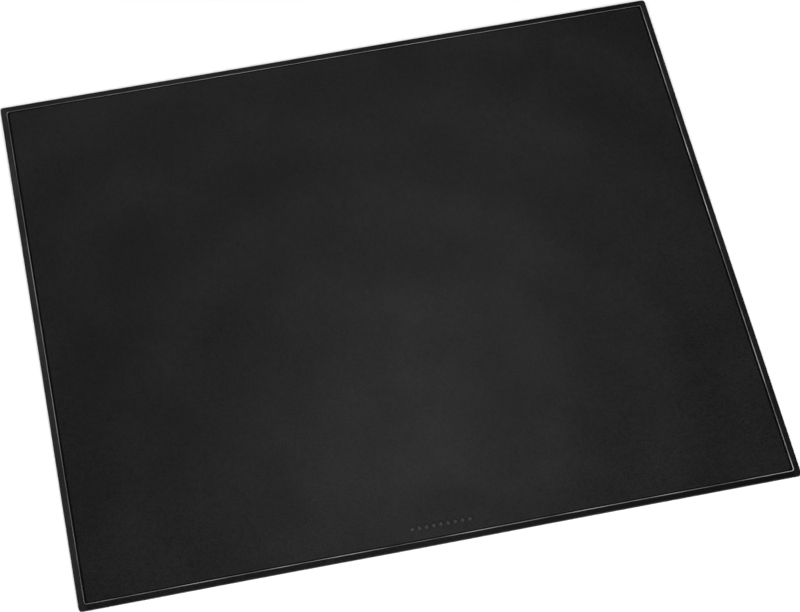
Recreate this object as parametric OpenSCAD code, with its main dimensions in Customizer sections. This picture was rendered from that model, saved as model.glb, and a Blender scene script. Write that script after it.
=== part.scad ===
// Desk mat: a thin padded sheet with a moulded edge frame. The frame stands a little above
// the writing surface and ends in a fine bead. A narrow groove is pressed into the writing
// sheet along the bead, and a loose clear cover lies on the field inside the groove.
// The origin is the centre of the underside, +X runs along the long edges and +Y to the far edge.

/* [Mat] */
// Length of the long edges
mat_w = 650; // [400:1:900]
// Length of the short edges
mat_d = 520; // [300:1:700]
// Radius of the outer corners
corner_r = 3; // [2:0.5:12]

/* [Layers] */
// Thickness of the non-slip sheet underneath
base_t = 0.5; // [0.4:0.1:1.5]
// Thickness of the foam between the two sheets
core_t = 0.6; // [0.5:0.1:3]
// Thickness of the leather-grained writing sheet
top_t = 0.4; // [0.3:0.1:1]
// Thickness of the clear cover
cover_t = 0.3; // [0.2:0.05:0.5]
// Air left between the writing sheet and the cover
cover_gap_z = 0.05; // [0.02:0.01:0.1]
// Height that the cover is drawn above its resting place
cover_lift = 0; // [0:1:60]

/* [Edge frame] */
// Height of the frame's flat band above the writing sheet
band_rise = 0.4; // [0.3:0.05:0.7]
// Radius of the frame's rounded outer edge
edge_r = 0.7; // [0.4:0.1:1]
// Distance from the outer edge to the middle of the bead
bead_inset = 5.6; // [5:0.1:7]
// Radius of the bead
bead_r = 0.65; // [0.4:0.05:0.9]
// Height of the bead's centre above the writing sheet
bead_rise = 0.05; // [0.05:0.05:0.2]
// Corner radius of the bead's centre line
bead_corner_r = 2.5; // [1.5:0.5:6]
// Width of the writing sheet's edge that is held under the frame
tuck = 1.6; // [1:0.1:2]

/* [Groove] */
// Width of the groove at the two short edges, between the bead and the clear cover
groove_w_short = 1.7; // [0.6:0.1:2]
// Width of the groove at the two long edges, between the bead and the clear cover
groove_w_long = 0.9; // [0.6:0.1:2]
// Depth of the groove below the writing surface
groove_depth = 0.15; // [0.05:0.01:0.25]

/* [Motif] */
// Number of lozenges pressed into the writing sheet
lozenge_count = 9; // [1:1:15]
// Width of a lozenge
lozenge_w = 6; // [2:0.5:6]
// Height of a lozenge
lozenge_h = 7; // [2:0.5:8]
// Distance from one lozenge to the next
lozenge_pitch = 6.5; // [6.1:0.1:10]
// Depth that the motif is pressed in
motif_depth = 0.2; // [0.05:0.01:0.25]
// Distance from the near edge to the middle of the motif
motif_inset = 18; // [14:1:60]

/* [Hidden] */
$fn = 64;
base_top = base_t;
core_top = base_top + core_t;
sheet_top = core_top + top_t;
band_top = sheet_top + band_rise;
frame_t = band_top - base_top;
pocket_t = sheet_top - base_top;
bead_z = sheet_top + bead_rise;
wall_inset = bead_inset + bead_r;
wall_corner_r = bead_corner_r - bead_r;
tuck_inset = wall_inset - tuck;
tuck_corner_r = 1;
groove_z = sheet_top - groove_depth;
cover_size = inset_size(wall_inset) - 2 * [groove_w_short, groove_w_long];
cover_corner_r = 3;
cover_z = sheet_top + cover_gap_z + cover_lift;
cut_extra = 1;

// The mat's size, set in by inset on every side.
function inset_size(inset) = [mat_w - 2 * inset, mat_d - 2 * inset];

// A rectangle of that size with round corners.
module outline(size, r) {
    square([size.x - 2 * r, size.y], center = true);
    square([size.x, size.y - 2 * r], center = true);
    for (x = [-1, 1], y = [-1, 1]) {
        translate([x * (size.x / 2 - r), y * (size.y / 2 - r)]) circle(r);
    }
}

module plate(size, r, z, t) {
    translate([0, 0, z]) linear_extrude(t) outline(size, r);
}

// Carries a profile round the mat. The profile's X = 0 runs along the outline at that inset
// with corners of radius r, its +X points outwards and its Y is the height above the underside.
module carried_round(inset, r) {
    for (k = [0:3]) {
        across = (k % 2 == 0 ? mat_w : mat_d) / 2 - inset;
        along = (k % 2 == 0 ? mat_d : mat_w) / 2 - inset;
        rotate([0, 0, 90 * k]) {
            translate([across, 0, 0]) rotate([90, 0, 0]) {
                linear_extrude(2 * (along - r), center = true) children();
            }
            translate([across - r, along - r, 0]) {
                rotate_extrude(angle = 90) translate([r, 0]) children();
            }
        }
    }
}

// The rounded outer edge of the frame, from the base sheet up to the flat band.
module edge_profile() {
    translate([-edge_r, base_top]) square([edge_r, frame_t - edge_r]);
    translate([-edge_r, band_top - edge_r]) intersection() {
        circle(edge_r);
        square(edge_r);
    }
}

// The bead's upper half, which stands on the frame's inner lip.
module bead_profile() {
    translate([0, bead_z]) intersection() {
        circle(bead_r);
        translate([-bead_r, 0]) square([2 * bead_r, bead_r]);
    }
}

module lozenge() {
    polygon([
        [-lozenge_w / 2, 0],
        [0, -lozenge_h / 2],
        [lozenge_w / 2, 0],
        [0, lozenge_h / 2]
    ]);
}

// A row of lozenges near the middle of the near edge.
module motif() {
    first_x = -(lozenge_count - 1) * lozenge_pitch / 2;
    for (i = [0 : lozenge_count - 1]) {
        translate([first_x + i * lozenge_pitch, motif_inset - mat_d / 2]) lozenge();
    }
}

module antislip_base() {
    color("#1d1d1e") plate(inset_size(0), corner_r, 0, base_t);
}

module foam_core() {
    color("#3a3a3c") plate(inset_size(tuck_inset), tuck_corner_r, base_top, core_t);
}

module writing_sheet() {
    color("#222223") difference() {
        plate(inset_size(tuck_inset), tuck_corner_r, core_top, top_t);
        translate([0, 0, groove_z]) linear_extrude(groove_depth + cut_extra) difference() {
            outline(inset_size(wall_inset), wall_corner_r);
            outline(cover_size, cover_corner_r);
        }
        translate([0, 0, sheet_top - motif_depth]) linear_extrude(motif_depth + cut_extra) motif();
    }
}

// The band and bead stand over the writing sheet's edge, and the frame goes down to the base
// sheet outside it.
module edge_frame() {
    color("#1f1f20") difference() {
        union() {
            plate(inset_size(edge_r), corner_r - edge_r, base_top, frame_t);
            carried_round(0, corner_r) edge_profile();
        }
        plate(inset_size(wall_inset), wall_corner_r, base_top - cut_extra, frame_t + 2 * cut_extra);
        plate(inset_size(tuck_inset), tuck_corner_r, base_top - cut_extra, pocket_t + cut_extra);
        plate(inset_size(bead_inset), bead_corner_r, bead_z, band_top);
    }
    color("#1f1f20") carried_round(bead_inset, bead_corner_r) bead_profile();
}

module clear_cover() {
    color("#b8c4cc", 0.35) plate(cover_size, cover_corner_r, cover_z, cover_t);
}

antislip_base();
foam_core();
writing_sheet();
edge_frame();
clear_cover();
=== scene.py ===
import math

import bmesh
import bpy
import numpy as np
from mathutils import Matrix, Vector


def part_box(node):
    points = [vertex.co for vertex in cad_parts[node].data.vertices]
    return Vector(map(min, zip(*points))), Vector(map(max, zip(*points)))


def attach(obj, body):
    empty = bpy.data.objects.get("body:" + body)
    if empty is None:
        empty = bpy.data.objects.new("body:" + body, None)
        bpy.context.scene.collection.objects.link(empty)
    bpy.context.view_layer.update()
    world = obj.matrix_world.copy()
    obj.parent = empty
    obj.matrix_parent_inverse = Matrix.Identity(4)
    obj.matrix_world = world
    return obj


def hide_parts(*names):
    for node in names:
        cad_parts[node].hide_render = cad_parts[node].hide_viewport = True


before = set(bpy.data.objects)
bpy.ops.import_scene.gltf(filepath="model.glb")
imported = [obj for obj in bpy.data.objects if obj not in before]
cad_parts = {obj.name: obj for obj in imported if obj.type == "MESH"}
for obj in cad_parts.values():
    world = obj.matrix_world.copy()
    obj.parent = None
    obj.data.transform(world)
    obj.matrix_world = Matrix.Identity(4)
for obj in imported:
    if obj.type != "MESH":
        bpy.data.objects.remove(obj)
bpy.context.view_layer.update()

# Everything is in metres in the part's own frame: +X along the long edges, +Y to the far
# edge, +Z up from the surface that the mat lies on.
MM = 0.001

BASE_LOW, BASE_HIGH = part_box("antislip_base")
CORE_LOW, CORE_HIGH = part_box("foam_core")
SHEET_LOW, SHEET_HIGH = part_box("writing_sheet")
FRAME_LOW, FRAME_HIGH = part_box("edge_frame")
COVER_LOW, COVER_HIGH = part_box("clear_cover")
HALF_MAT = (BASE_HIGH.x, BASE_HIGH.y)
HALF_SHEET = (SHEET_HIGH.x, SHEET_HIGH.y)
HALF_COVER = (COVER_HIGH.x, COVER_HIGH.y)

# Corner radii, seen from above.
MAT_CORNER_R = 3 * MM
BEAD_CORNER_R = 2.5 * MM
COVER_CORNER_R = 3 * MM
HIDDEN_CORNER_R = 1 * MM

# The groove's widths at the short and the long sides, and its depth.
GROOVE_W = (1.7 * MM, 0.9 * MM)
GROOVE_DEPTH = 0.15 * MM

# The edge frame's section. An inset is measured from the mat's outer edge.
EDGE_R = 0.7 * MM
BEAD_R = 0.65 * MM
BAND_RISE = 0.4 * MM
WALL_INSET = HALF_MAT[0] - HALF_COVER[0] - GROOVE_W[0]
BEAD_INSET = WALL_INSET - BEAD_R
TUCK_INSET = HALF_MAT[0] - HALF_SHEET[0]
BEAD_Z = FRAME_HIGH.z - BEAD_R
BAND_TOP = SHEET_HIGH.z + BAND_RISE
# The glossy strip along the bead, whose pale colour is a painted highlight: its width, and how far
# inside the bead's middle it lies.
CREST_W = 0.8 * MM
CREST_SHIFT = 0.12 * MM

# The motif pressed into the writing sheet: a row of plain lozenges near the near edge.
LOZENGES = 9
LOZENGE_W = 6 * MM
LOZENGE_H = 7 * MM
LOZENGE_PITCH = 6.5 * MM
MOTIF_DEPTH = 0.2 * MM
MOTIF_INSET = 18 * MM
MOTIF_Y = -HALF_MAT[1] + MOTIF_INSET
# The share of a lozenge's half width that its walls take, and the grid lines across it.
LOZENGE_WALL = 0.25
LOZENGE_STATIONS = np.linspace(-1, 1, 17)
# Depths that differ by less than this share of the motif's depth count as level.
LEVEL = 0.01

# How many steps a quarter turn takes: at a corner seen from above, on the rounded edge of a
# sheet, and on the frame's outer edge. The bead's arc has its own number.
CORNER_STEPS = 16
SHEET_EDGE_STEPS = 4
FRAME_EDGE_STEPS = 8
BEAD_STEPS = 24
# Width of the strip that keeps a flat face's shading flat beside a rounded edge.
CRISP = 0.05 * MM
# Points closer than this are one point, and an edge that turns more than this is sharp.
SAME_PLACE = 0.002 * MM
SHARP_ANGLE = math.radians(50)

# Which of its materials a face of the writing sheet, the frame or the cover has, where that
# isn't the first.
# The painted shade mark gives near-black painted shade to the groove, the motif's walls, the bead's
# flanks and the frame's inner wall. The crest mark gives the bead's painted highlight, and the motif
# mark the painted highlight on the lozenges' floors.
PAINTED_SHADE_MARK = 1
MOTIF_MARK = 2
CREST_MARK = 2
CUT_EDGE_MARK = 1


# Shapes ---------------------------------------------------------------------------------


def unevenness(x, y, seed, waves, shortest, longest):
    """A smooth random surface between about -1 and 1, made of a few long waves."""
    draw = np.random.RandomState(seed)
    total = np.zeros_like(x)
    for _ in range(waves):
        length = draw.uniform(shortest, longest)
        heading, phase = draw.uniform(0, 2 * math.pi, 2)
        along = x * math.cos(heading) + y * math.sin(heading)
        total += np.sin(2 * math.pi * along / length + phase)
    return total / math.sqrt(2 * waves)


def softened(points):
    """The points of a piece moved as the soft mat strays from a true rectangle."""
    x, y = points[:, 0], points[:, 1]
    stray = 0.22 * MM
    moved = points.copy()
    for axis, seed in ((0, 11), (1, 12)):
        moved[:, axis] += stray * unevenness(x, y, seed, waves=5, shortest=0.09, longest=0.4)
    return moved


def ring(half, corner_r, u, v):
    """The points round a rectangle with round corners, anticlockwise from the right side's
    near end. u and v are the stations on the long and short sides, from -1 to 1."""
    hx, hy = half[0] - corner_r, half[1] - corner_r
    turn = np.linspace(0, math.pi / 2, CORNER_STEPS + 1)[1:-1]
    sides = [
        (np.full(len(v), half[0]), v * hy),
        (u[::-1] * hx, np.full(len(u), half[1])),
        (np.full(len(v), -half[0]), v[::-1] * hy),
        (u * hx, np.full(len(u), -half[1])),
    ]
    centres = [(hx, hy), (-hx, hy), (-hx, -hy), (hx, -hy)]
    xs, ys = [], []
    for k, ((sx, sy), (cx, cy)) in enumerate(zip(sides, centres)):
        angle = turn + k * math.pi / 2
        xs += [sx, cx + corner_r * np.cos(angle)]
        ys += [sy, cy + corner_r * np.sin(angle)]
    return np.stack([np.concatenate(xs), np.concatenate(ys)], 1)


def rings_faces(rings, count, closed):
    """The four-sided faces between rings of count points each, stacked one after another."""
    faces = []
    for k in range(rings if closed else rings - 1):
        a, b = k * count, (k + 1) % rings * count
        faces += [
            (a + i, a + (i + 1) % count, b + (i + 1) % count, b + i) for i in range(count)
        ]
    return faces


def place_in_scene(name, data):
    """A new object that shows data."""
    made = bpy.data.objects.new(name, data)
    bpy.context.scene.collection.objects.link(made)
    return made


def piece(name, points, faces, marks, body, stands_for):
    """A smooth closed mesh of those points, riding on its body in place of its CAD node. marks
    says which of the piece's materials each face has."""
    mesh = bpy.data.meshes.new(name)
    mesh.from_pydata([tuple(p) for p in points], [], faces)
    mesh.polygons.foreach_set("material_index", marks)
    tidy_mesh(mesh)
    shown = place_in_scene(name, mesh)
    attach(shown, body)
    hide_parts(stands_for)
    return shown


def tidy_mesh(mesh):
    """Merges points at the same place, turns every face outwards and shades smoothly."""
    work = bmesh.new()
    work.from_mesh(mesh)
    bmesh.ops.remove_doubles(work, verts=work.verts, dist=SAME_PLACE)
    bmesh.ops.dissolve_degenerate(work, edges=work.edges, dist=SAME_PLACE / 2)
    bmesh.ops.recalc_face_normals(work, faces=work.faces)
    for face in work.faces:
        face.smooth = True
    work.to_mesh(mesh)
    work.free()
    mesh.set_sharp_from_angle(angle=SHARP_ANGLE)


def plate(half, section, u, v):
    """A closed sheet whose section runs from its upper face, round its edge, to its lower face,
    as (inset in x, inset in y, corner radius, height, mark of the strip that starts there).
    Both faces are gridded at the stations u and v inside the first and last loops, whose
    corner radius is 0. Returns the points, the faces and the faces' marks."""
    loops = []
    for inset_x, inset_y, corner_r, z, _ in section:
        flat = ring((half[0] - inset_x, half[1] - inset_y), corner_r, u, v)
        loops.append(np.column_stack([flat, np.full(len(flat), z)]))
    count = len(loops[0])
    faces = rings_faces(len(loops), count, closed=False)
    marks = [strip[4] for strip in section[:-1] for _ in range(count)]
    points = list(np.concatenate(loops))
    for inset_x, inset_y, _, z, _ in (section[0], section[-1]):
        gx, gy = np.meshgrid(u * (half[0] - inset_x), v * (half[1] - inset_y))
        start = len(points)
        points += list(np.column_stack([gx.ravel(), gy.ravel(), np.full(gx.size, z)]))
        for j in range(len(v) - 1):
            for i in range(len(u) - 1):
                a = start + j * len(u) + i
                faces.append((a, a + 1, a + 1 + len(u), a + len(u)))
                marks.append(0)
    return np.array(points), faces, marks


def edge_section(corner_r, low, high, edge_r, mark):
    """The section round the rounded edge of a sheet, without its two faces."""
    turns = np.linspace(0, math.pi / 2, SHEET_EDGE_STEPS + 1)
    upper = [(edge_r * (1 - math.sin(t)), high - edge_r * (1 - math.cos(t))) for t in turns]
    lower = [(edge_r * (1 - math.cos(t)), low + edge_r * (1 - math.sin(t))) for t in turns]
    crisp = edge_r + CRISP
    line = [(crisp, high, mark), *[(*step, mark) for step in upper + lower], (crisp, low, 0)]
    return [(inset, inset, corner_r - inset, z, strip) for inset, z, strip in line]


def sheet_section(corner_r, low, high, edge_r, mark=0):
    """The section of a plain sheet, with both faces gridded inside the corners."""
    return [
        (corner_r, corner_r, 0, high, 0),
        *edge_section(corner_r, low, high, edge_r, mark),
        (corner_r, corner_r, 0, low, 0),
    ]


def even_stations(half, spacing):
    """Stations from -1 to 1 that lie about that far apart on a side."""
    return np.linspace(-1, 1, round(2 * half / spacing) + 1)


def stations_with_detail(half, spacing, detail):
    """Stations from -1 to 1, with the places in detail among them."""
    before = np.linspace(-half, detail[0], max(2, round((detail[0] + half) / spacing)))
    after = np.linspace(detail[-1], half, max(2, round((half - detail[-1]) / spacing)))
    return np.concatenate([before[:-1], detail, after[1:]]) / half


def lozenge_centres():
    """The lozenges' places along X, in a row about the mat's middle."""
    return [(i - (LOZENGES - 1) / 2) * LOZENGE_PITCH for i in range(LOZENGES)]


def motif_depth(x, y):
    """How deep the motif is pressed in at each point: each lozenge has a flat floor inside four
    sloping walls."""
    deep = np.zeros_like(x)
    for centre in lozenge_centres():
        across = np.abs(x - centre) / (LOZENGE_W / 2)
        up = np.abs(y - MOTIF_Y) / (LOZENGE_H / 2)
        deep = np.maximum(deep, np.clip((1 - across - up) / LOZENGE_WALL, 0, 1))
    return deep * MOTIF_DEPTH


def creased(faces, marks, depth):
    """Splits each face that isn't flat along the diagonal whose ends are equally deep, and
    marks the motif's walls and floors."""
    new_faces, new_marks = [], []
    for face, mark in zip(faces, marks):
        deep = depth[list(face)]
        if np.ptp(deep) < LEVEL * MOTIF_DEPTH:
            halves = [face]
        else:
            turn = 0 if abs(deep[0] - deep[2]) < abs(deep[1] - deep[3]) else 1
            a, b, c, d = face[turn:] + face[:turn]
            halves = [(a, b, c), (a, c, d)]
        for half in halves:
            share = depth[list(half)].mean() / MOTIF_DEPTH
            # The motif's floors take the pale painted highlight and its walls the near-black painted
            # shade.
            pressed = MOTIF_MARK if share > 1 - LEVEL else PAINTED_SHADE_MARK
            new_faces.append(half)
            new_marks.append(pressed if share > LEVEL else mark)
    return new_faces, new_marks


def make_base():
    """The non-slip sheet under the mat, whose edge shows below the frame."""
    u, v = even_stations(HALF_MAT[0], 10 * MM), even_stations(HALF_MAT[1], 10 * MM)
    clear, edge_r = 0.03 * MM, 0.12 * MM
    section = sheet_section(MAT_CORNER_R, BASE_LOW.z, BASE_HIGH.z - clear, edge_r)
    points, faces, marks = plate(HALF_MAT, section, u, v)
    base = piece(
        "base_sheet", softened(points), faces, marks, "mat", "antislip_base"
    )
    base.data.materials.append(rubber_material())
    return base


def make_core():
    """The foam between the base and the writing sheet, closed in by the frame."""
    clear, clear_side, edge_r = 0.03 * MM, 0.15 * MM, 0.2 * MM
    half = (CORE_HIGH.x - clear_side, CORE_HIGH.y - clear_side)
    u, v = even_stations(half[0], 12 * MM), even_stations(half[1], 12 * MM)
    section = sheet_section(HIDDEN_CORNER_R, CORE_LOW.z + clear, CORE_HIGH.z - clear, edge_r)
    points, faces, marks = plate(half, section, u, v)
    core = piece("foam_pad", softened(points), faces, marks, "mat", "foam_core")
    core.data.materials.append(foam_material())
    return core


def writing_sheet_section():
    """The writing sheet's section: its field, the pressed groove, and the edge that the frame
    holds down."""
    clear, edge_r = 0.01 * MM, 0.1 * MM
    high, low = SHEET_HIGH.z - clear, SHEET_LOW.z
    soft = 0.08 * MM
    wall = WALL_INSET - TUCK_INSET
    inner_x, inner_y = wall + GROOVE_W[0], wall + GROOVE_W[1]
    field = COVER_CORNER_R
    outer_r = BEAD_CORNER_R - BEAD_R
    floor = high - GROOVE_DEPTH
    return [
        (inner_x + field, inner_y + field, 0, high, 0),
        (inner_x + soft + CRISP, inner_y + soft + CRISP, field - soft - CRISP, high, 0),
        # The groove's faces take the near-black painted shade.
        (inner_x + soft, inner_y + soft, field - soft, high, PAINTED_SHADE_MARK),
        (inner_x, inner_y, field, high - soft / 2, PAINTED_SHADE_MARK),
        (inner_x - soft, inner_y - soft, field, floor, PAINTED_SHADE_MARK),
        (wall + soft, wall + soft, outer_r - soft, floor, PAINTED_SHADE_MARK),
        (wall, wall, outer_r, high, PAINTED_SHADE_MARK),
        *edge_section(HIDDEN_CORNER_R, low, high, edge_r, 0),
        (inner_x + field, inner_y + field, 0, low, 0),
    ]


def make_writing_sheet():
    """The grained black sheet, with the groove and the motif pressed into it."""
    section = writing_sheet_section()
    half = (HALF_SHEET[0] - section[0][0], HALF_SHEET[1] - section[0][1])
    across = [c + LOZENGE_W / 2 * t for c in lozenge_centres() for t in LOZENGE_STATIONS]
    up = [MOTIF_Y + LOZENGE_H / 2 * t for t in LOZENGE_STATIONS]
    u = stations_with_detail(half[0], 8 * MM, across)
    v = stations_with_detail(half[1], 8 * MM, up)
    points, faces, marks = plate(HALF_SHEET, section, u, v)
    on_top = points[:, 2] > section[0][3] - SAME_PLACE
    depth = np.where(on_top, motif_depth(points[:, 0], points[:, 1]), 0)
    points[:, 2] -= depth
    faces, marks = creased(faces, marks, depth)
    points = softened(points)
    sheet = piece(
        "writing_sheet_skin", points, faces, marks, "mat", "writing_sheet"
    )
    sheet.data.materials.append(
        grained_material("grained_black", SHEET_SHADE, SHEET_PATCHINESS, SHEET_PAINTED_FALLOFF)
    )
    sheet.data.materials.append(painted_shade_material("groove_painted_shade"))
    sheet.data.materials.append(motif_material())
    return sheet


def frame_section():
    """The edge frame's outline as (inset, height, mark of the strip that starts there), from
    the outer foot up, over the band and the bead, down the inner wall and back underneath."""
    foot, clear = FRAME_LOW.z, 0.01 * MM
    line = [(0.1 * MM, foot + clear, 0), (0.02 * MM, foot + 0.08 * MM, 0)]
    for t in np.linspace(0, math.pi / 2, FRAME_EDGE_STEPS + 1):
        line.append((EDGE_R * (1 - math.cos(t)), BAND_TOP - EDGE_R * (1 - math.sin(t)), 0))

    # The band dips a little between its outer edge and the bead.
    dip = 0.04 * MM
    rise = math.asin((BAND_TOP - dip - BEAD_Z) / BEAD_R)
    before_bead = BEAD_INSET - BEAD_R * math.cos(rise) - 0.1 * MM
    line += [
        (EDGE_R + CRISP, BAND_TOP, 0),
        (1.4 * MM, BAND_TOP - dip / 3, 0),
        (2.6 * MM, BAND_TOP - dip, 0),
        (4.0 * MM, BAND_TOP - dip, 0),
        (before_bead, BAND_TOP - dip, 0),
    ]
    # Over the bead, the strip about the crest takes the painted highlight and the flanks the
    # near-black painted shade.
    for t in np.linspace(math.pi - rise, 0, BEAD_STEPS + 1):
        off = BEAD_R * math.cos(t)
        mark = CREST_MARK if abs(off - CREST_SHIFT) < CREST_W / 2 else PAINTED_SHADE_MARK
        line.append((BEAD_INSET + off, BEAD_Z + BEAD_R * math.sin(t), mark))

    # The inner wall, in near-black painted shade, the lip over the writing sheet, and the side that
    # meets the sheet's edge.
    lip, side = 0.05 * MM, 0.02 * MM
    line += [
        (WALL_INSET, SHEET_HIGH.z - GROOVE_DEPTH + clear, PAINTED_SHADE_MARK),
        (WALL_INSET - lip, SHEET_HIGH.z, 0),
        (TUCK_INSET + lip, SHEET_HIGH.z + clear, 0),
        (TUCK_INSET - side, SHEET_HIGH.z, 0),
        (TUCK_INSET - side, foot + clear, 0),
    ]
    return line


def corner_radius_at(inset):
    """The corner radius at an inset: the bead's corners are rounder than a true offset."""
    band_r = np.interp(inset, [0, BEAD_INSET], [MAT_CORNER_R, BEAD_CORNER_R])
    return band_r - max(0, inset - BEAD_INSET)


def make_edge_frame():
    """The moulded frame: a rounded outer edge, a flat band and a fine bead whose crest has a painted
    highlight.
    """
    u, v = even_stations(HALF_MAT[0], 4 * MM), even_stations(HALF_MAT[1], 4 * MM)
    section = frame_section()
    loops = []
    for inset, z, _ in section:
        half = (HALF_MAT[0] - inset, HALF_MAT[1] - inset)
        flat = ring(half, corner_radius_at(inset), u, v)
        loops.append(np.column_stack([flat, np.full(len(flat), z)]))
    count = len(loops[0])
    faces = rings_faces(len(loops), count, closed=True)
    marks = [strip[2] for strip in section for _ in range(count)]
    points = np.concatenate(loops)
    raised = points[:, 2] > BAND_TOP - EDGE_R / 2
    x, y = points[raised, 0], points[raised, 1]
    wave = 0.03 * MM
    points[raised, 2] += wave * unevenness(x, y, seed=21, waves=5, shortest=0.05, longest=0.2)
    moulding = piece(
        "edge_moulding", softened(points), faces, marks, "mat", "edge_frame"
    )
    moulding.data.materials.append(
        grained_material("band_black", BAND_SHADE, BAND_PATCHINESS, BAND_PAINTED_FALLOFF)
    )
    moulding.data.materials.append(painted_shade_material("wall_painted_shade"))
    moulding.data.materials.append(bead_material())
    return moulding


def make_cover():
    """The loose clear sheet inside the bead."""
    u, v = even_stations(HALF_COVER[0], 6 * MM), even_stations(HALF_COVER[1], 6 * MM)
    edge_r = 0.1 * MM
    section = sheet_section(COVER_CORNER_R, COVER_LOW.z, COVER_HIGH.z, edge_r, CUT_EDGE_MARK)
    points, faces, marks = plate(HALF_COVER, section, u, v)
    x, y = points[:, 0], points[:, 1]
    wave = 0.04 * MM
    points[:, 2] += wave * (1 + unevenness(x, y, seed=31, waves=6, shortest=0.08, longest=0.3))
    cover = piece(
        "cover_film", softened(points), faces, marks, "cover", "clear_cover"
    )
    cover.data.materials.append(film_material())
    cover.data.materials.append(cut_edge_material())
    return cover


# Materials ------------------------------------------------------------------------------

SHEET_SHADE = 0.0064
BAND_SHADE = 0.006
# The share by which the shade of the cloudy patches strays from the mean.
SHEET_PATCHINESS = 0.3
BAND_PATCHINESS = 0.5
GRAIN_ROUGHNESS = 0.36

# How the painted light falloff scales the tone over the mat, first on the field and the long sides
# and then on the short sides: painted shade that is darker towards the near edge, and on the band
# also darker at the right and lighter at the left; on the bead it scales the painted highlight. It is
# the sum of a value that goes from the left to the right and one that goes from the near edge to the
# far one.
SHEET_PAINTED_FALLOFF = (((0.48, 0.45), (0.4, 0.62)), ((0.48, 0.45), (0.4, 0.62)))
BAND_PAINTED_FALLOFF = (((1.15, -0.1), (-0.47, 0.47)), ((2.15, 0.9), (-0.47, 0.47)))
BEAD_PAINTED_HIGHLIGHT_FALLOFF = (((0.3, 0.7), (0.95, -0.2)), ((0.1, 1.2), (0.37, 1.05)))
# Where the pattern of the wipe marks and that of the bright stretches of the bead's painted highlight
# lie.
WIPE_SHIFT = (0.02, 0.16, 0)
STRETCH_SHIFT = (2.095, 0.275, 0)

# The part of the light that passes each face of the film, and the part that it mirrors. The
# second is the same at every angle, because one that grows at low angles, as Fresnel's does,
# makes a mirror of the film's lower face.
FILM_CLEARNESS = 0.96
FILM_GLOSS = 0.0058


def add(tree, kind, settings=None, inputs=None):
    """A node with those settings. An input is a value, or another node's output."""
    made = tree.nodes.new(kind)
    for key, value in (settings or {}).items():
        setattr(made, key, value)
    for key, value in (inputs or {}).items():
        if isinstance(value, bpy.types.NodeSocket):
            tree.links.new(value, made.inputs[key])
        else:
            made.inputs[key].default_value = value
    return made


def empty_material(name):
    """A new material without a shader, its node tree, and the place on the mat in metres."""
    made = bpy.data.materials.new(name)
    made.use_nodes = True
    tree = made.node_tree
    tree.nodes.clear()
    return made, tree, add(tree, "ShaderNodeTexCoord").outputs["Object"]


def finish_with(tree, shader):
    add(tree, "ShaderNodeOutputMaterial", inputs={"Surface": shader})


def coat(tree, inputs):
    """Gives the material one Principled shader with those inputs."""
    finish_with(tree, add(tree, "ShaderNodeBsdfPrincipled", inputs=inputs).outputs["BSDF"])


def noise(tree, where, size, detail=3.0, roughness=0.5, distortion=0.0):
    """Noise whose patches are about that size in metres."""
    inputs = {
        "Vector": where,
        "Scale": 1 / size,
        "Detail": detail,
        "Roughness": roughness,
        "Distortion": distortion,
    }
    return add(tree, "ShaderNodeTexNoise", inputs=inputs).outputs["Fac"]


def spread(tree, value, low, high, to_low, to_high):
    """value carried from low..high to to_low..to_high, and kept within that."""
    inputs = {
        "Value": value,
        "From Min": low,
        "From Max": high,
        "To Min": to_low,
        "To Max": to_high,
    }
    return add(tree, "ShaderNodeMapRange", inputs=inputs).outputs["Result"]


def math_node(tree, operation, *values):
    inputs = dict(enumerate(values))
    return add(tree, "ShaderNodeMath", {"operation": operation}, inputs).outputs["Value"]


def times(tree, a, b):
    return math_node(tree, "MULTIPLY", a, b)


def plus(tree, a, b):
    return math_node(tree, "ADD", a, b)


def grey(tree, value):
    """A grey of that brightness."""
    return add(tree, "ShaderNodeCombineColor", inputs={0: value, 1: value, 2: value}).outputs["Color"]


def bump(tree, height, depth):
    """The normal of a surface with that relief, where a height of 1 stands depth above 0."""
    inputs = {"Height": height, "Distance": depth, "Strength": 1.0}
    return add(tree, "ShaderNodeBump", inputs=inputs).outputs["Normal"]


def shifted(tree, where, shift):
    """The place that lies that far from where, so that a texture's pattern moves the other way."""
    inputs = {"Vector": where, "Location": shift}
    return add(tree, "ShaderNodeMapping", {"vector_type": "POINT"}, inputs).outputs["Vector"]


def wipe_marks(tree, where):
    """Faint broad arcs, as a cloth leaves them, from about 0 to 1."""
    settings = {"wave_type": "RINGS", "rings_direction": "Z", "wave_profile": "SIN"}
    inputs = {
        "Vector": shifted(tree, where, WIPE_SHIFT),
        "Scale": 3.2,
        "Distortion": 5.0,
        "Detail": 3.0,
        "Detail Scale": 1.4,
        "Detail Roughness": 0.6,
    }
    return add(tree, "ShaderNodeTexWave", settings, inputs).outputs["Fac"]


def fading(tree, axes, along, across):
    """The sum of a value that goes from one of along to the other from the left to the right,
    and one that goes from one of across to the other from the near edge to the far one."""
    return plus(
        tree,
        spread(tree, axes["X"], -HALF_MAT[0], HALF_MAT[0], *along),
        spread(tree, axes["Y"], -HALF_MAT[1], HALF_MAT[1], *across),
    )


def painted_light_falloff(tree, where, long_sides, short_sides):
    """Painted light falloff: how the tone is scaled over the mat, where the long sides and the field
    fade one way and the edge band and bead at the two short sides another."""
    axes = add(tree, "ShaderNodeSeparateXYZ", inputs={"Vector": where}).outputs
    from_middle = math_node(tree, "ABSOLUTE", axes["X"])
    inner_edge = HALF_MAT[0] - WALL_INSET
    share = spread(tree, from_middle, inner_edge - 2 * MM, inner_edge, 0.0, 1.0)
    inputs = {
        0: share,
        2: fading(tree, axes, *long_sides),
        3: fading(tree, axes, *short_sides),
    }
    return add(tree, "ShaderNodeMix", {"data_type": "FLOAT"}, inputs).outputs[0]


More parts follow.
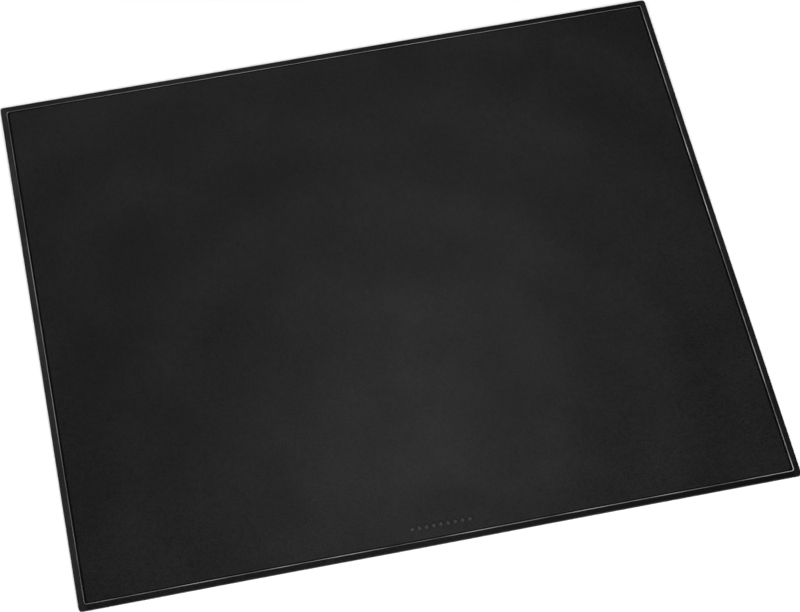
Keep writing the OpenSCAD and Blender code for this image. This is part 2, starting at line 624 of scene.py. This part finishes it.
def grained_material(name, shade, patchiness, painted_fades):
    """Satin black with a very fine leather-like grain, cloudy patches, faint wipe marks and a painted
    light falloff over the mat.
    """
    made, tree, where = empty_material(name)
    cloud = noise(tree, where, 85 * MM, detail=2.5, distortion=0.35)
    mottle = noise(tree, where, 7 * MM, detail=1.0)
    speck = noise(tree, where, 1.1 * MM, detail=1.0)
    cells = add(
        tree,
        "ShaderNodeTexVoronoi",
        {"feature": "SMOOTH_F1"},
        {"Vector": where, "Scale": 1 / (1.9 * MM), "Smoothness": 0.5},
    ).outputs["Distance"]
    patches = spread(tree, cloud, 0.32, 0.68, shade * (1 - patchiness), shade * (1 + patchiness))
    patches = times(tree, patches, spread(tree, wipe_marks(tree, where), 0.0, 1.0, 0.85, 1.15))
    # Painted light falloff: the tone is scaled by a gradient over the mat, darker where less light
    # falls.
    patches = times(tree, patches, painted_light_falloff(tree, where, *painted_fades))
    patches = times(tree, patches, spread(tree, mottle, 0.3, 0.7, 0.88, 1.12))
    pebbles = plus(
        tree,
        spread(tree, cells, 0.22, 0.65, 0.48 * shade, -0.33 * shade),
        spread(tree, speck, 0.3, 0.7, -0.25 * shade, 0.25 * shade),
    )
    coat(tree, {
        "Base Color": grey(tree, spread(tree, plus(tree, patches, pebbles), 0.0, 1.0, 0.0, 1.0)),
        "Roughness": spread(tree, cloud, 0.3, 0.7, GRAIN_ROUGHNESS + 0.05, GRAIN_ROUGHNESS - 0.05),
        "IOR": 1.5,
        "Specular IOR Level": 0.2,
        "Normal": bump(tree, spread(tree, cells, 0.0, 0.7, 1.0, 0.0), 0.06 * MM),
    })
    return made


def painted_shade_material(name):
    """Painted shade: a near-black, dull colour for the pressed groove, the motif's walls, the bead's
    flanks and the frame's inner wall, standing in for the shade in these hollows.
    """
    made, tree, where = empty_material(name)
    painted_shade_noise = noise(tree, where, 3 * MM)
    coat(tree, {
        "Base Color": grey(tree, spread(tree, painted_shade_noise, 0.3, 0.7, 0.0012, 0.0024)),
        "Roughness": spread(tree, painted_shade_noise, 0.3, 0.7, 0.9, 0.8),
        "IOR": 1.4,
        "Specular IOR Level": 0.08,
    })
    return made


def motif_material():
    """The floors of the pressed lozenges, paler than the grain as a painted highlight, and a little
    smoother.
    """
    made, tree, where = empty_material("pressed_painted_highlight")
    speck = noise(tree, where, 1.2 * MM, detail=2.0)
    coat(tree, {
        "Base Color": grey(tree, spread(tree, speck, 0.3, 0.7, 0.0105, 0.0195)),
        "Roughness": spread(tree, speck, 0.3, 0.7, 0.26, 0.34),
        "IOR": 1.5,
        "Specular IOR Level": 0.35,
        "Normal": bump(tree, speck, 0.01 * MM),
    })
    return made


def bead_material():
    """The bead's glossy crest, whose pale colour is a painted highlight, in stretches that are
    brighter and duller.
    """
    made, tree, where = empty_material("bead_painted_highlight")
    stretch = noise(tree, shifted(tree, where, STRETCH_SHIFT), 70 * MM, detail=2.0)
    # Painted highlight: the crest's pale colour, stronger in some stretches and on some sides.
    painted_highlight = times(
        tree,
        spread(tree, stretch, 0.4, 0.6, 0.035, 0.18),
        painted_light_falloff(tree, where, *BEAD_PAINTED_HIGHLIGHT_FALLOFF),
    )
    coat(tree, {
        "Base Color": grey(tree, painted_highlight),
        "Roughness": spread(tree, stretch, 0.35, 0.65, 0.36, 0.22),
        "IOR": 1.5,
        "Specular IOR Level": 0.7,
        "Normal": bump(tree, noise(tree, where, 2 * MM), 0.01 * MM),
    })
    return made


def film_material():
    """Clear anti-glare film: what lies under it shows, under a faint soft reflection."""
    made, tree, where = empty_material("clear_film")
    haze = noise(tree, where, 90 * MM, detail=4.0, roughness=0.55, distortion=0.8)
    mirror = add(
        tree,
        "ShaderNodeBsdfGlossy",
        inputs={
            "Color": (1, 1, 1, 1),
            "Roughness": spread(tree, haze, 0.3, 0.7, 0.27, 0.35),
            "Normal": bump(tree, noise(tree, where, 1.2 * MM, detail=2.0), 0.006 * MM),
        },
    )
    tint = (FILM_CLEARNESS, FILM_CLEARNESS, FILM_CLEARNESS, 1)
    clear = add(tree, "ShaderNodeBsdfTransparent", inputs={"Color": tint})
    shaders = {"Fac": FILM_GLOSS, 1: clear.outputs["BSDF"], 2: mirror.outputs["BSDF"]}
    finish_with(tree, add(tree, "ShaderNodeMixShader", inputs=shaders).outputs["Shader"])
    return made


def cut_edge_material():
    """The film's cut edge, smoky and half clear."""
    made, tree, where = empty_material("film_cut_edge")
    stretch = noise(tree, where, 50 * MM, detail=2.0)
    coat(tree, {
        "Base Color": grey(tree, spread(tree, stretch, 0.35, 0.65, 0.006, 0.012)),
        "Roughness": spread(tree, noise(tree, where, 3 * MM), 0.3, 0.7, 0.4, 0.55),
        "IOR": 1.5,
        "Specular IOR Level": 0.2,
        "Alpha": 0.5,
    })
    return made


def foam_material():
    """Fine closed-cell foam."""
    made, tree, where = empty_material("black_foam")
    inputs = {"Vector": where, "Scale": 1 / (0.5 * MM)}
    cells = add(tree, "ShaderNodeTexVoronoi", inputs=inputs).outputs["Distance"]
    coat(tree, {
        "Base Color": grey(tree, spread(tree, cells, 0.0, 0.8, 0.03, 0.06)),
        "Roughness": spread(tree, cells, 0.0, 0.8, 0.85, 0.95),
        "Normal": bump(tree, cells, 0.1 * MM),
    })
    return made


def rubber_material():
    """Matte non-slip rubber with a fine waffle of shallow squares."""
    made, tree, where = empty_material("waffle_rubber")
    pitch = 3 * MM
    bands = [
        add(
            tree,
            "ShaderNodeTexWave",
            {"bands_direction": axis, "wave_profile": "SIN"},
            {"Vector": where, "Scale": math.pi / (10 * pitch)},
        ).outputs["Fac"]
        for axis in ("X", "Y")
    ]
    grit = noise(tree, where, 0.8 * MM, detail=2.0)
    coat(tree, {
        "Base Color": grey(tree, spread(tree, grit, 0.3, 0.7, 0.012, 0.02)),
        "Roughness": spread(tree, grit, 0.3, 0.7, 0.7, 0.85),
        "Normal": bump(tree, times(tree, *bands), 0.12 * MM),
    })
    return made


# Stage ----------------------------------------------------------------------------------

CAMERA_PLACE = (-0.24327, -0.82099, 1.68077)
CAMERA_TURN = (26.2826, 0.3274, -11.0996)
CAMERA_LENS = 90.83
CAMERA_SENSOR = 36
CAMERA_SHIFT_X = 0.1429

# The square softboxes as (name, place, side, power in watts). Each one faces the mat's middle,
# and the two small ones make the soft glow on the cover.
SOFTBOXES = (
    ("left_softbox", (-2.3, 0.1, 1.9), 1.2, 45),
    ("right_softbox", (2.3, -0.5, 1.9), 1.2, 32),
    ("front_softbox", (0.5, -2.4, 1.9), 1.2, 78),
    ("back_softbox", (-0.3, 2.6, 1.9), 1.2, 8),
    ("glow_near", (0.25, 0.56, 2.0), 0.35, 1.6),
    ("glow_far", (0.5, 1.1, 2.0), 0.4, 0.8),
)
WORLD_STRENGTH = 0.1
BACKDROP_STRENGTH = 1.0

FLOOR_HALF = 8.0
FLOOR_DROP = 0.05 * MM
# The floor's own light, which keeps it white where the softboxes don't reach: how far from the
# mat's middle it starts and stops growing, and how strong it is there.
FLOOR_GLOW_REACH = (0.4, 3.5)
FLOOR_GLOW = (0.03, 0.95)


def make_camera():
    """The camera at the photograph's viewing angle, to the left of and in front of the mat."""
    data = bpy.data.cameras.new("camera")
    data.lens = CAMERA_LENS
    data.sensor_width = CAMERA_SENSOR
    data.shift_x = CAMERA_SHIFT_X
    data.clip_start = 0.01
    data.clip_end = 100
    camera = place_in_scene("camera", data)
    camera.location = CAMERA_PLACE
    camera.rotation_euler = [math.radians(a) for a in CAMERA_TURN]
    bpy.context.scene.camera = camera


def make_softbox(name, place, side, power):
    """A square softbox at place that faces the middle of the mat."""
    data = bpy.data.lights.new(name, "AREA")
    data.shape = "SQUARE"
    data.size = side
    data.energy = power
    softbox = place_in_scene(name, data)
    softbox.location = place
    softbox.rotation_euler = (-Vector(place)).to_track_quat("-Z", "Y").to_euler()


def make_floor():
    """A plain pale floor, well past the edges of every view."""
    mesh = bpy.data.meshes.new("floor")
    corners = [(-1, -1), (1, -1), (1, 1), (-1, 1)]
    height = BASE_LOW.z - FLOOR_DROP
    points = [(x * FLOOR_HALF, y * FLOOR_HALF, height) for x, y in corners]
    mesh.from_pydata(points, [], [(0, 1, 2, 3)])
    mesh.materials.append(floor_material())
    place_in_scene("floor", mesh)


def floor_material():
    """Pale paint that is white at any distance."""
    made, tree, where = empty_material("pale_floor")
    patches = noise(tree, where, 0.4)
    away = add(tree, "ShaderNodeVectorMath", {"operation": "LENGTH"}, {0: where}).outputs["Value"]
    coat(tree, {
        "Base Color": grey(tree, spread(tree, patches, 0.3, 0.7, 0.89, 0.91)),
        "Roughness": 0.9,
        "Specular IOR Level": 0.1,
        "Emission Color": (1, 1, 1, 1),
        "Emission Strength": spread(tree, away, *FLOOR_GLOW_REACH, *FLOOR_GLOW),
    })
    return made


def make_world():
    """A dim even light from all round, which is plain white where the camera looks past the
    floor's far edge."""
    world = bpy.data.worlds.new("studio")
    world.use_nodes = True
    tree = world.node_tree
    background = tree.nodes["Background"]
    background.inputs["Color"].default_value = (1, 1, 1, 1)
    seen = add(tree, "ShaderNodeLightPath").outputs["Is Camera Ray"]
    strength = spread(tree, seen, 0.0, 1.0, WORLD_STRENGTH, BACKDROP_STRENGTH)
    tree.links.new(strength, background.inputs["Strength"])
    bpy.context.scene.world = world


make_camera()
make_base()
make_core()
make_writing_sheet()
make_edge_frame()
make_cover()
make_floor()
make_world()
for softbox in SOFTBOXES:
    make_softbox(*softbox)
bpy.context.scene.view_settings.view_transform = "Standard"
